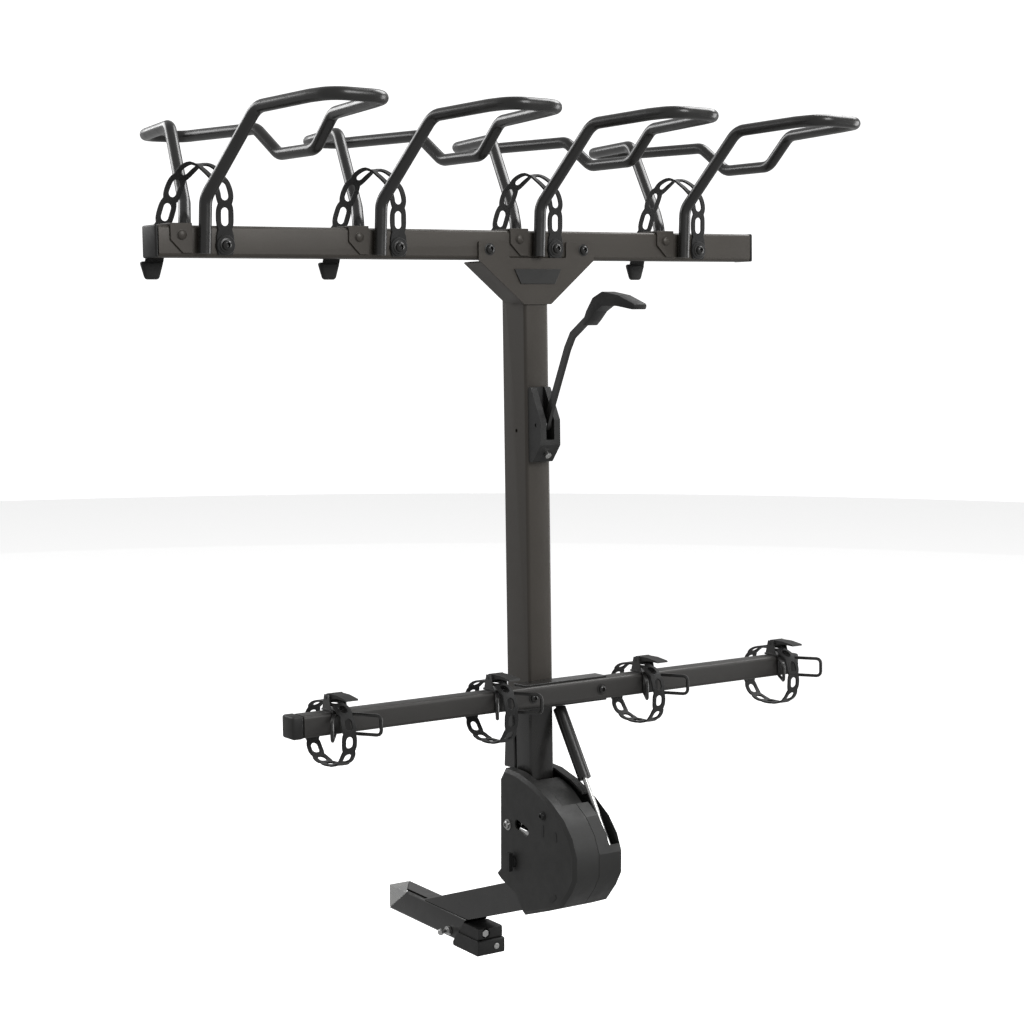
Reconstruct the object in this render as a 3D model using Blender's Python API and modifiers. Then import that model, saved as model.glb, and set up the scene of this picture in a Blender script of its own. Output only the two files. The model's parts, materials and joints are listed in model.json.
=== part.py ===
"""Hitch mounted bike rack: four hanging wheel hoops on a tilting mast, in metres, +Z up.

The origin is on the underside of the hitch shank. +Y points into the car's receiver, +X runs
along the crossbars. The mast assembly hangs from one empty on the tilt axis.
"""
import bpy
import bmesh
from math import atan2, cos, hypot, pi, radians, sin, tan
from mathutils import Matrix, Vector

# Driving dimensions
GAP = 0.0003                    # clearance between pieces that touch
TUBE = 0.0508                   # two inch square tube
HALF = TUBE / 2
WALL = 0.0045
CORNER = 0.006                  # corner radius of the tubes

SHANK_REAR = -0.075
SHANK_FRONT = 0.213
WEDGE_START = 0.140             # where the diagonal cut meets the near top edge
PIN_Y, PIN_Z = -0.018, 0.0145
PIN_RADIUS = 0.0062
BOLT_X, BOLT_Z = -0.010, 0.0320

TONGUE_RISE = radians(19.5)
TONGUE_DEPTH = 0.055
TONGUE_FOOT = -0.083            # rear edge of the weld on the shank
TONGUE_RUN = 0.302

PIVOT = Vector((0, -0.280, 0.215))
LEAN = radians(1.45)            # the mast leans toward the car at rest
MAST_NEAR = -0.0205             # rear face of the mast, from the tilt axis
UPPER_DEPTH = 0.0762            # three inches
MAST_FOOT = -0.022
MAST_JOINT = 0.290
BAR_SIZE = TUBE
BAR_Z = 1.105                   # centre of the upper crossbar above the tilt axis
BAR_LEFT, BAR_RIGHT = -0.722, 0.491
LOWER_SIZE = 0.0381
LOWER_Z = 0.3066
LOWER_LEFT, LOWER_RIGHT = -0.505, 0.551
CAP_LENGTH, LOWER_CAP_LENGTH = 0.006, 0.022

PITCH = 0.3235                  # between bikes
FIRST_BOLT = -0.607
HOOPS = 4
LEG_OFFSET = -0.041             # hoop legs from the strap bolt
ROD = 0.0105                    # radius of the hoop's rod
RAIL_UP = 0.205                 # hoop's rails above the crossbar's centre
FIRST_CRADLE = -0.437
SQUARENESS = 2.6               # exponent of the wheel strap's loop; 2 is an ellipse

CASING_HALF = 0.053
CASING_WALL = 0.0045
CASING_EDGE = 0.006             # chamfer around the casing's side faces
SLOT_HALF = 0.0305
SHIELD_RADIUS = 0.1515

STRUT_X = 0.0395
STRUT_TOP = Vector((STRUT_X, -0.0015, 0.298))      # from the tilt axis, on the mast
STRUT_FOOT = Vector((STRUT_X, -0.449, 0.262))
STRUT_BODY = 0.170
LEVER_AXIS = Vector((0, -0.044, 0.788))

for old in list(bpy.data.objects):
    bpy.data.objects.remove(old)

RACK = bpy.data.collections.new("hitch_bike_rack")
CUTTERS = bpy.data.collections.new("cutters")
bpy.context.scene.collection.children.link(RACK)
bpy.context.scene.collection.children.link(CUTTERS)


def material(name, colour, roughness, metallic):
    made = bpy.data.materials.new(name)
    made.use_nodes = True
    shader = made.node_tree.nodes["Principled BSDF"]
    shader.inputs["Base Color"].default_value = (*colour, 1)
    shader.inputs["Roughness"].default_value = roughness
    shader.inputs["Metallic"].default_value = metallic
    return made


def powder_coat(name):
    return material(name, (0.075, 0.066, 0.054), 0.42, 0.35)


def black_plastic(name):
    return material(name, (0.030, 0.030, 0.029), 0.5, 0.0)


def rubber(name):
    return material(name, (0.010, 0.010, 0.010), 0.65, 0.0)


def bright_steel(name):
    return material(name, (0.62, 0.62, 0.60), 0.25, 1.0)


def dark_steel(name):
    return material(name, (0.045, 0.044, 0.042), 0.35, 0.6)


def place(made, name, look, parent=None):
    """Names an object, gives it its material, and puts it in the rack's collection."""
    for owner in list(made.users_collection):
        owner.objects.unlink(made)
    RACK.objects.link(made)
    made.name = name
    made.data.name = name
    made.data.materials.clear()
    made.data.materials.append(look(name))
    tools = [step.object for step in made.modifiers if step.type == "BOOLEAN"]
    for piece in [made, *tools]:
        piece.parent = parent
    return made


def as_cutter(made):
    for owner in list(made.users_collection):
        owner.objects.unlink(made)
    CUTTERS.objects.link(made)
    made.hide_render = True
    made.display_type = "WIRE"
    return made


def empty(name, location, turn=0.0, parent=None):
    made = bpy.data.objects.new(name, None)
    RACK.objects.link(made)
    made.location = location
    made.rotation_euler = (turn, 0, 0)
    made.parent = parent
    return made


def mesh_object(name, shape):
    mesh = bpy.data.meshes.new(name)
    bmesh.ops.recalc_face_normals(shape, faces=shape.faces)
    shape.to_mesh(mesh)
    shape.free()
    made = bpy.data.objects.new(name, mesh)
    RACK.objects.link(made)
    return made


def box(name, low, high):
    """A box between two corners, its origin at its centre."""
    low, high = Vector(low), Vector(high)
    shape = bmesh.new()
    bmesh.ops.create_cube(shape, size=1)
    bmesh.ops.scale(shape, vec=high - low, verts=shape.verts)
    made = mesh_object(name, shape)
    made.location = (low + high) / 2
    return made


def cylinder(name, radius, start, end, sides=20, end_radius=None):
    """A cylinder, or a cone, between two points."""
    start, end = Vector(start), Vector(end)
    along = end - start
    shape = bmesh.new()
    bmesh.ops.create_cone(shape, cap_ends=True, segments=sides, radius1=radius,
                          radius2=radius if end_radius is None else end_radius,
                          depth=along.length)
    made = mesh_object(name, shape)
    made.location = (start + end) / 2
    made.rotation_euler = along.to_track_quat("Z", "Y").to_euler()
    return made


def solid_from_curve(made):
    """Turns a curve object into a mesh object of the same name, with its caps welded."""
    name = made.name
    bpy.context.view_layer.update()
    graph = bpy.context.evaluated_depsgraph_get()
    mesh = bpy.data.meshes.new_from_object(made.evaluated_get(graph))
    shape = bmesh.new()
    shape.from_mesh(mesh)
    bmesh.ops.remove_doubles(shape, verts=shape.verts, dist=0.00001)
    bmesh.ops.recalc_face_normals(shape, faces=shape.faces)
    bmesh.ops.transform(shape, matrix=made.matrix_world, verts=shape.verts)
    shape.to_mesh(mesh)
    shape.free()
    solid = bpy.data.objects.new(name, mesh)
    RACK.objects.link(solid)
    bpy.data.objects.remove(made)
    solid.name = name
    return solid


def outline(name, loops, low, high, plane):
    """Closed outlines, filled and extruded from low to high across the plane XY, YZ or XZ."""
    data = bpy.data.curves.new(name, "CURVE")
    data.dimensions = "2D"
    data.fill_mode = "BOTH"
    data.extrude = abs(high - low) / 2
    for loop in loops:
        spline = data.splines.new("POLY")
        spline.points.add(len(loop) - 1)
        for point, (u, v) in zip(spline.points, loop):
            point.co = (u, v, 0, 1)
        spline.use_cyclic_u = True
    made = bpy.data.objects.new(name, data)
    RACK.objects.link(made)
    middle = (low + high) / 2
    if plane == "YZ":
        made.rotation_euler = (pi / 2, 0, pi / 2)
        made.location = (middle, 0, 0)
    elif plane == "XZ":
        made.rotation_euler = (pi / 2, 0, 0)
        made.location = (0, middle, 0)
    else:
        made.location = (0, 0, middle)
    return solid_from_curve(made)


def rounded(corners, radius, steps=4):
    """A 2D loop with every corner rounded by an arc of the same radius."""
    points = []
    count = len(corners)
    for i, corner in enumerate(corners):
        here = Vector(corner)
        before = (Vector(corners[i - 1]) - here)
        after = (Vector(corners[(i + 1) % count]) - here)
        points += fillet(here, before, after, radius, steps)
    return [tuple(p) for p in points]


def fillet(here, before, after, radius, steps):
    """Points of the arc that rounds the corner between two edge vectors."""
    one, two = before.normalized(), after.normalized()
    opening = one.angle(two)
    reach = min(radius / tan(opening / 2), before.length * 0.49, after.length * 0.49)
    radius = reach * tan(opening / 2)
    middle = here + (one + two).normalized() * (radius / sin(opening / 2))
    start, end = here + one * reach - middle, here + two * reach - middle
    return [middle + (start.slerp(end, s / steps) * radius if len(here) == 3
                      else turned(start, end, s / steps)) for s in range(steps + 1)]


def turned(start, end, share):
    """A 2D vector turned part of the way from start to end."""
    sweep = atan2(start.x * end.y - start.y * end.x, start.dot(end))
    c, s = cos(sweep * share), sin(sweep * share)
    return Vector((start.x * c - start.y * s, start.x * s + start.y * c))


def bent_rod(name, corners, radius, bend, steps=4, resolution=2):
    """A round rod through corner points, with a bend of the given radius at each."""
    corners = [Vector(c) for c in corners]
    route = [corners[0]]
    for i in range(1, len(corners) - 1):
        here = corners[i]
        route += fillet(here, corners[i - 1] - here, corners[i + 1] - here, bend, steps)
    route.append(corners[-1])
    data = bpy.data.curves.new(name, "CURVE")
    data.dimensions = "3D"
    data.bevel_depth = radius
    data.bevel_resolution = resolution
    data.use_fill_caps = True
    spline = data.splines.new("POLY")
    spline.points.add(len(route) - 1)
    for point, place_at in zip(spline.points, route):
        point.co = (*place_at, 1)
    made = bpy.data.objects.new(name, data)
    RACK.objects.link(made)
    return made


def square_tube(name, width, depth, low, high, axis, wall=WALL):
    """A hollow rounded tube around the axis X, Y or Z through the origin."""
    def ring(inset):
        w, d = width / 2 - inset, depth / 2 - inset
        return rounded([(-w, -d), (w, -d), (w, d), (-w, d)], max(CORNER - inset, 0.0015), 3)
    plane = {"X": "YZ", "Y": "XZ", "Z": "XY"}[axis]
    return outline(name, [ring(0), ring(wall)], low, high, plane)


def boolean(made, tool, operation="DIFFERENCE"):
    step = made.modifiers.new(operation.lower(), "BOOLEAN")
    step.operation = operation
    step.object = tool
    step.solver = "EXACT"


def cut(made, *tools):
    for tool in tools:
        as_cutter(tool)
        boolean(made, tool)
    return made


def join(made, *tools):
    for tool in tools:
        as_cutter(tool)
        boolean(made, tool, "UNION")
    return made


def soften(made, width, segments=1):
    step = made.modifiers.new("soften", "BEVEL")
    step.width = width
    step.segments = segments
    step.limit_method = "ANGLE"
    step.angle_limit = radians(40)
    return made


# ---------------------------------------------------------------- hitch

def cut_plane(offset):
    """The matrix of the shank's diagonal end cut, moved along the shank by an offset."""
    across = (SHANK_FRONT + 0.002 - WEDGE_START) / TUBE
    down = (SHANK_FRONT - WEDGE_START) / TUBE
    normal = Vector((-across, 1, down)).normalized()
    corner = Vector((-HALF, WEDGE_START + offset, TUBE))
    turn = normal.to_track_quat("Z", "Y").to_matrix().to_4x4()
    return Matrix.Translation(corner) @ turn


def half_space(name, offset, side):
    """A large box on one side of the diagonal cut."""
    size = 0.4
    made = box(name, (-size, -size, 0 if side > 0 else -size),
               (size, size, size if side > 0 else 0))
    made.matrix_world = cut_plane(offset) @ Matrix.Translation(made.location)
    return made


def build_shank():
    shank = square_tube("shank_tube", TUBE, TUBE, SHANK_REAR, SHANK_FRONT, "Y")
    shank.location.z += HALF
    tail = outline("shank_tail_cut", [[(-0.2, -0.01), (-0.027, -0.01), (-0.083, 0.0608),
                                       (-0.2, 0.0608)]], -0.04, 0.04, "YZ")
    bore = cylinder("pin_bore", PIN_RADIUS + 0.0004, (-0.05, PIN_Y, PIN_Z),
                    (0.05, PIN_Y, PIN_Z), 16)
    groove = box("rod_groove", (-0.0185, 0.0845, TUBE - 0.008), (-0.0110, 0.3, TUBE + 0.01))
    cut(shank, half_space("end_cut", 0, 1), tail, bore, groove)
    place(shank, "shank_tube", dark_steel)


def build_wedge():
    wedge = box("anti_wobble_wedge", (-0.0246, WEDGE_START, 0.004), (0.0200, 0.2115, 0.0500))
    cut(wedge, half_space("wedge_seat", 0.0022, -1))
    place(wedge, "anti_wobble_wedge", bright_steel)
    bolt = cylinder("tension_bolt", 0.0045, (BOLT_X, -0.113, BOLT_Z), (BOLT_X, 0.172, BOLT_Z), 12)
    head = cylinder("tension_bolt_head", 0.0075, (BOLT_X, -0.1212, BOLT_Z),
                    (BOLT_X, -0.1125, BOLT_Z), 6)
    join(bolt, head)
    place(bolt, "tension_bolt", bright_steel)


def build_end_blocks():
    upper = outline("bolt_housing", [rounded([(-0.122, 0.0205), (-0.0526, 0.0205),
                                              (-0.0700, 0.0425), (-0.122, 0.0425)], 0.003, 2)],
                    -0.027, 0.027, "YZ")
    bore = cylinder("bolt_bore", 0.0050, (BOLT_X, -0.14, BOLT_Z), (BOLT_X, -0.02, BOLT_Z), 12)
    recess = cylinder("head_recess", 0.0095, (BOLT_X, -0.14, BOLT_Z),
                      (BOLT_X, -0.1118, BOLT_Z), 12)
    place(cut(upper, bore, recess), "bolt_housing", black_plastic)
    lower = outline("lock_housing", [rounded([(-0.126, -0.009), (-0.036, -0.009),
                                              (-0.0362, -0.0012), (-0.0520, 0.0200),
                                              (-0.126, 0.0200)], 0.003, 2)],
                    -0.030, 0.030, "YZ")
    keyway = cylinder("key_recess", 0.0062, (0.012, -0.14, 0.0055), (0.012, -0.112, 0.0055), 16)
    place(cut(lower, keyway), "lock_housing", black_plastic)
    lock = cylinder("hitch_lock_cylinder", 0.0058, (0.012, -0.1265, 0.0055),
                    (0.012, -0.1125, 0.0055), 16)
    place(lock, "hitch_lock_cylinder", bright_steel)


def build_hitch_pin():
    pin = cylinder("hitch_pin", PIN_RADIUS, (0.040, PIN_Y, PIN_Z), (-0.030, PIN_Y, PIN_Z), 16)
    collar = cylinder("pin_collar", 0.0090, (-0.0262, PIN_Y, PIN_Z), (-0.0320, PIN_Y, PIN_Z), 16)
    neck = cylinder("pin_neck", 0.0042, (-0.031, PIN_Y, PIN_Z), (-0.043, PIN_Y, PIN_Z), 12)
    shape = bmesh.new()
    bmesh.ops.create_uvsphere(shape, u_segments=12, v_segments=8, radius=0.0066)
    ball = mesh_object("pin_ball", shape)
    ball.location = (-0.0455, PIN_Y, PIN_Z)
    place(join(pin, collar, neck, ball), "hitch_pin", bright_steel)


def build_tongue():
    rise, cosine = sin(TONGUE_RISE), cos(TONGUE_RISE)
    foot = Vector((TONGUE_FOOT, TUBE + GAP))
    end = foot + Vector((-TONGUE_RUN, TONGUE_RUN * tan(TONGUE_RISE)))
    top_end = end + TONGUE_DEPTH * Vector((rise, cosine))
    top_foot = foot + Vector((TONGUE_DEPTH / rise, 0))
    tongue = outline("tongue_tube", [[tuple(foot), tuple(top_foot), tuple(top_end), tuple(end)]],
                     -HALF, HALF, "YZ")
    bore = box("tongue_bore", (-HALF + WALL, -0.4, -TONGUE_DEPTH / 2 + WALL),
               (HALF - WALL, 0.4, TONGUE_DEPTH / 2 - WALL))
    centre = foot + TONGUE_DEPTH / 2 * Vector((rise, cosine))
    bore.location = (0, centre.x, centre.y)
    bore.rotation_euler = (-TONGUE_RISE, 0, 0)
    place(cut(tongue, bore), "tongue_tube", dark_steel)


def build_cheeks():
    shape = rounded([(-0.247, 0.174), (-0.288, 0.160), (-0.313, 0.135), (-0.350, 0.148),
                     (-0.350, 0.205), (-0.318, 0.238), (-0.290, 0.250), (-0.262, 0.247),
                     (-0.244, 0.215)], 0.005, 2)
    for name, side in (("pivot_cheek_left", -1), ("pivot_cheek_right", 1)):
        near, far = side * (HALF + GAP), side * (HALF + GAP + 0.006)
        cheek = outline(name, [shape], min(near, far), max(near, far), "YZ")
        bore = cylinder(name + "_bore", 0.0099, PIVOT + Vector((-0.06, 0, 0)),
                        PIVOT + Vector((0.06, 0, 0)), 20)
        place(cut(cheek, bore), name, dark_steel)
    shaft = cylinder("pivot_shaft", 0.0095, PIVOT + Vector((-0.046, 0, 0)),
                     PIVOT + Vector((0.046, 0, 0)), 20)
    place(shaft, "pivot_shaft", bright_steel)


# ---------------------------------------------------------------- casing

def casing_profile(inset):
    """The casing's side view, anticlockwise, moved inward by an inset."""
    points = [(-0.233, 0.360), (-0.247, 0.380), (-0.290, 0.378), (-0.340, 0.366),
              (-0.390, 0.345), (-0.430, 0.321), (-0.456, 0.293), (-0.470, 0.262),
              (-0.470, 0.222), (-0.456, 0.198), (-0.428, 0.165), (-0.385, 0.148),
              (-0.310, 0.122), (-0.284, 0.152), (-0.238, 0.168), (-0.219, 0.179),
              (-0.233, 0.192)]
    moved = []
    count = len(points)
    for i, point in enumerate(points):
        here = Vector(point)
        one = (here - Vector(points[i - 1])).normalized()
        two = (Vector(points[(i + 1) % count]) - here).normalized()
        inward = (Vector((-one.y, one.x)) + Vector((-two.y, two.x))).normalized()
        moved.append(tuple(here + inward * inset / max(0.6, inward.dot(Vector((-two.y, two.x))))))
    return moved


def chamfer_side(made, width):
    """Raises the side face that is farthest from X = 0, with a chamfer around it."""
    shape = bmesh.new()
    shape.from_mesh(made.data)
    outer = max(abs((made.matrix_world @ v.co).x) for v in shape.verts)
    faces = [f for f in shape.faces
             if all(abs((made.matrix_world @ v.co).x) > outer - 0.0001 for v in f.verts)]
    bmesh.ops.inset_region(shape, faces=faces, thickness=width, depth=width,
                           use_even_offset=True)
    shape.to_mesh(made.data)
    shape.free()


def build_casing():
    rise, cosine = sin(TONGUE_RISE), cos(TONGUE_RISE)
    for name, side in (("casing_left", -1), ("casing_right", 1)):
        def span(near, far):
            return min(side * near, side * far), max(side * near, side * far)
        shell = outline(name, [casing_profile(0)], *span(GAP, CASING_HALF - CASING_EDGE), "YZ")
        chamfer_side(shell, CASING_EDGE)
        cavity = outline(name + "_cavity", [casing_profile(CASING_WALL)],
                         *span(-0.01, CASING_HALF - 0.0035), "YZ")
        low, high = span(-0.012, SLOT_HALF)
        slot = box(name + "_slot", (low, -0.4000, 0.310), (high, -0.2390, 0.400))
        low, high = span(-0.014, HALF + 0.0008)
        mouth = box(name + "_mouth", (low, -0.20, -TONGUE_DEPTH / 2 - 0.0008),
                    (high, 0.20, TONGUE_DEPTH / 2 + 0.0008))
        foot = Vector((TONGUE_FOOT, TUBE + GAP)) + TONGUE_DEPTH / 2 * Vector((rise, cosine))
        mouth.location = ((low + high) / 2, foot.x - 0.13 * cosine, foot.y + 0.13 * rise)
        mouth.rotation_euler = (-TONGUE_RISE, 0, 0)
        cut(shell, cavity, slot, mouth)
        if side < 0:
            window = outline("latch_window", [rounded([(-0.283, 0.279), (-0.327, 0.268),
                                                       (-0.330, 0.285), (-0.286, 0.296)],
                                                      0.008, 4)], -0.07, -0.04, "YZ")
            knob_bore = cylinder("knob_bore", 0.0068, PIVOT + Vector((-0.07, 0, 0)),
                                 PIVOT + Vector((-0.045, 0, 0)), 16)
            cut(shell, window, knob_bore)
        else:
            pocket = outline("strut_pocket", [[(-0.464, 0.240), (-0.464, 0.40), (-0.376, 0.40),
                                               (-0.376, 0.310), (-0.430, 0.240)]],
                             0.0262, 0.0510, "YZ")
            cut(shell, pocket)
        place(shell, name, black_plastic)


def build_tilt_knob():
    """The turn latch on the side of the casing, on the tilt axis."""
    knob = cylinder("tilt_lock_knob", 0.0105, PIVOT + Vector((-CASING_HALF - GAP, 0, 0)),
                    PIVOT + Vector((-CASING_HALF - 0.0045, 0, 0)), 20)
    stem = cylinder("knob_stem", 0.0062, PIVOT + Vector((-CASING_HALF - 0.001, 0, 0)),
                    PIVOT + Vector((-0.0475, 0, 0)), 14)
    wing = box("knob_wing", PIVOT + Vector((-CASING_HALF - 0.012, -0.004, -0.017)),
               PIVOT + Vector((-CASING_HALF - 0.004, 0.004, 0.017)))
    join(knob, stem, wing)
    place(knob, "tilt_lock_knob", black_plastic)


# ---------------------------------------------------------------- mast

def build_mast(mast):
    lower = square_tube("lower_mast_tube", TUBE, TUBE, MAST_FOOT, MAST_JOINT - GAP, "Z")
    lower.location.y = MAST_NEAR + HALF
    bore = cylinder("mast_bore", 0.0099, (-0.05, 0, 0), (0.05, 0, 0), 20)
    latch_slot = box("latch_slot", (-0.05, -0.0194, 0.059), (0.05, -0.0006, 0.090))
    cut(lower, bore, latch_slot)
    place(lower, "lower_mast_tube", dark_steel, mast)

    upper = square_tube("upper_mast_tube", TUBE, UPPER_DEPTH, MAST_JOINT,
                        BAR_Z - BAR_SIZE / 2 - GAP, "Z")
    upper.location.y = MAST_NEAR + UPPER_DEPTH / 2
    hole = cylinder("rod_port", 0.0035, (-0.05, 0.012, 0.777), (0, 0.012, 0.777), 10)
    cut(upper, hole)
    place(upper, "upper_mast_tube", powder_coat, mast)

    back = MAST_NEAR + TUBE
    heel = outline("mast_heel", [[(back + 0.0012, 0.1600), (0.0690, 0.1600), (0.0655, 0.200),
                                  (0.0620, 0.245), (0.0560, MAST_JOINT - GAP),
                                  (back + 0.0100, MAST_JOINT - GAP), (back + 0.0070, 0.250),
                                  (back + 0.0030, 0.205)]], -HALF, HALF, "YZ")
    place(heel, "mast_heel", dark_steel, mast)


def build_shield(mast):
    """The curved cover in front of the mast, concentric with the tilt axis."""
    first, last, steps = radians(10.5), radians(49), 12
    def arc(radius):
        return [(-radius * sin(first + (last - first) * s / steps),
                 radius * cos(first + (last - first) * s / steps)) for s in range(steps + 1)]
    shield = outline("tilt_shield", [arc(SHIELD_RADIUS) + arc(SHIELD_RADIUS - 0.0025)[::-1]],
                     -0.0300, 0.0300, "YZ")
    place(shield, "tilt_shield", black_plastic, mast)


def build_latch(latch):
    """The cross pin that the release lever lifts, and the rod that pulls it."""
    pin = cylinder("latch_pin", 0.0050, (-0.0440, 0, 0), (0.0440, 0, 0), 16)
    place(pin, "latch_pin", bright_steel, latch)
    rod = cylinder("release_rod", 0.0030, (0, 0.0062, 0.004), (0, 0.0250, 0.700), 10)
    eye = box("rod_eye", (-0.006, 0.0055, -0.008), (0.006, 0.0105, 0.012))
    join(rod, eye)
    place(rod, "release_rod", bright_steel, latch)


def build_crossbar(mast):
    centre = MAST_NEAR + BAR_SIZE / 2
    bar = square_tube("upper_crossbar", BAR_SIZE, BAR_SIZE, BAR_LEFT, BAR_RIGHT, "X")
    bar.location.y, bar.location.z = centre, BAR_Z
    for i, x in enumerate((-0.100, 0.100)):
        cut(bar, cylinder(f"gusset_hole_{i}", 0.0044, (x, MAST_NEAR - 0.02, BAR_Z - 0.008),
                          (x, MAST_NEAR + 0.02, BAR_Z - 0.008), 10))
    place(bar, "upper_crossbar", powder_coat, mast)
    half = BAR_SIZE / 2 + 0.0006
    for name, x, out in (("crossbar_cap_left", BAR_LEFT, -1), ("crossbar_cap_right", BAR_RIGHT, 1)):
        near, far = x + out * GAP, x + out * (CAP_LENGTH + GAP)
        cap = box(name, (min(near, far), centre - half, BAR_Z - half),
                  (max(near, far), centre + half, BAR_Z + half))
        place(soften(cap, 0.0028, 2), name, black_plastic, mast)


def build_gusset(mast):
    front = MAST_NEAR - GAP
    top, corner, bottom = BAR_Z + 0.006, BAR_Z - 0.0265, BAR_Z - 0.104
    notch = BAR_Z - 0.0225      # the third hoop's foot sits in this notch
    plate = outline("gusset_plate", [rounded([(-0.123, top), (-0.123, corner), (-0.0288, bottom),
                                              (0.0288, bottom), (0.123, corner), (0.123, top),
                                              (0.062, top), (0.062, notch), (-0.060, notch),
                                              (-0.060, top)], 0.003, 2)],
                    front - 0.0035, front, "XZ")
    slope = atan2(corner - bottom, 0.123 - 0.0288)
    length = hypot(corner - bottom, 0.123 - 0.0288)
    for side in (-1, 1):
        near, far = sorted((-side * length * 0.47, side * length * 0.44))
        flange = box(f"gusset_flange_{side + 2}", (near, -0.0272, -0.0015), (far, 0.0275, 0.0015))
        flange.location = Vector((side * 0.0745, front + 0.0255, (corner + bottom) / 2 + 0.0005))
        flange.rotation_euler = (0, -side * slope, 0)
        join(plate, flange)
    holes = [cylinder(f"plate_hole_{i}", 0.0044, (x, front - 0.02, BAR_Z - 0.008),
                      (x, front + 0.01, BAR_Z - 0.008), 10) for i, x in enumerate((-0.100, 0.100))]
    cut(plate, *holes)
    place(plate, "gusset_plate", powder_coat, mast)
    badge = outline("blank_badge", [[(-0.050, BAR_Z - 0.042), (-0.0365, BAR_Z - 0.068),
                                     (0.0365, BAR_Z - 0.068), (0.050, BAR_Z - 0.042)]],
                    front - 0.0056, front - 0.0035 - GAP, "XZ")
    place(badge, "blank_badge", black_plastic, mast)


def build_hoop(number, strap_x, mast):
    """One bent rod: front leg, near rail, rear turn, far rail with its dip, front turn, back leg."""
    front = MAST_NEAR - ROD - GAP
    back = MAST_NEAR + BAR_SIZE + ROD + GAP
    route = [(LEG_OFFSET, front, -0.020), (-0.037, front, 0.068), (0.0086, -0.127, RAIL_UP),
             (0.030, -0.262, RAIL_UP + 0.005), (0.040, -0.317, RAIL_UP + 0.005),
             (0.133, -0.317, RAIL_UP + 0.003), (0.143, -0.262, RAIL_UP + 0.002),
             (0.165, -0.091, RAIL_UP), (0.161, -0.036, RAIL_UP - 0.053),
             (0.156, 0.083, RAIL_UP - 0.053), (0.147, 0.148, RAIL_UP - 0.005),
             (0.119, 0.319, RAIL_UP - 0.003), (0.110, 0.364, RAIL_UP - 0.003),
             (0.035, 0.364, RAIL_UP - 0.003), (0.026, 0.319, RAIL_UP - 0.003),
             (0.006, 0.190, RAIL_UP - 0.002), (-0.026, 0.072, 0.066), (LEG_OFFSET, back, 0.036),
             (LEG_OFFSET, back, -0.020)]
    name = f"wheel_hoop_{number}"
    hoop = bent_rod(name, [(strap_x + x, y, BAR_Z + z) for x, y, z in route], ROD, 0.032, 3, 1)
    place(hoop, name, dark_steel, mast)


def build_saddle(number, strap_x, mast):
    """A folded plate over the crossbar that carries the hoop's legs and the strap's tail."""
    name = f"hoop_saddle_{number}"
    front, back = MAST_NEAR - GAP, MAST_NEAR + BAR_SIZE + GAP
    top, low = BAR_Z + BAR_SIZE / 2 + GAP, BAR_Z - 0.019
    plate = 0.003
    saddle = outline(name, [[(front - plate, low), (front, low), (front, top), (back, top),
                             (back, low), (back + plate, low), (back + plate, top + plate),
                             (front - plate, top + plate)]],
                     strap_x - 0.096, strap_x - 0.058, "YZ")
    chamfer = box(name + "_chamfer", (-0.02, -0.02, -0.02), (0.02, 0.02, 0.02))
    chamfer.location = (strap_x - 0.096, front, BAR_Z - 0.026)
    chamfer.rotation_euler = (0, radians(45), 0)
    cut(saddle, chamfer)
    place(saddle, name, powder_coat, mast)


def ribbon(name, route, width, thickness, steps):
    """A flat strap along a smooth route, its width kept as near the X axis as it can be."""
    route = [Vector(p) for p in route]
    ends = [2 * route[0] - route[1], *route, 2 * route[-1] - route[-2]]
    places = []
    for i in range(1, len(ends) - 2):
        a, b, c, d = ends[i - 1:i + 3]
        for s in range(steps):
            t = s / steps
            places.append(0.5 * (2 * b + (c - a) * t + (2 * a - 5 * b + 4 * c - d) * t * t
                                 + (3 * b - a - 3 * c + d) * t ** 3))
    places.append(route[-1])
    shape = bmesh.new()
    bmesh.ops.create_grid(shape, x_segments=1, y_segments=len(places) - 1, size=0.5)
    for vertex in shape.verts:
        i = round((vertex.co.y + 0.5) * (len(places) - 1))
        ahead = places[min(i + 1, len(places) - 1)] - places[max(i - 1, 0)]
        ahead.normalize()
        across = Vector((1, 0, 0)) - ahead.x * ahead
        across.normalize()
        vertex.co = places[i] + across * width * vertex.co.x
    made = mesh_object(name, shape)
    shell = made.modifiers.new("thickness", "SOLIDIFY")
    shell.thickness = thickness
    shell.offset = 0
    return made


def build_upper_strap(number, strap_x, mast):
    name = f"tire_strap_{number}"
    front = MAST_NEAR - GAP - 0.0016
    back = MAST_NEAR + BAR_SIZE + GAP + 0.003 + GAP + 0.0016
    route = [(0, front, -0.022), (0, front, 0.040), (-0.001, front - 0.002, 0.078),
             (-0.012, -0.0150, 0.108), (-0.032, 0.0080, 0.124), (-0.053, 0.0290, 0.104),
             (-0.068, back - 0.001, 0.070), (-0.082, back, 0.030), (-0.094, back, -0.012),
             (-0.104, back, -0.050)]
    strap = ribbon(name, [(strap_x + x, y, BAR_Z + z) for x, y, z in route], 0.030, 0.003, 3)
    place(strap, name, rubber, mast)


# ---------------------------------------------------------------- lower crossbar

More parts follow.
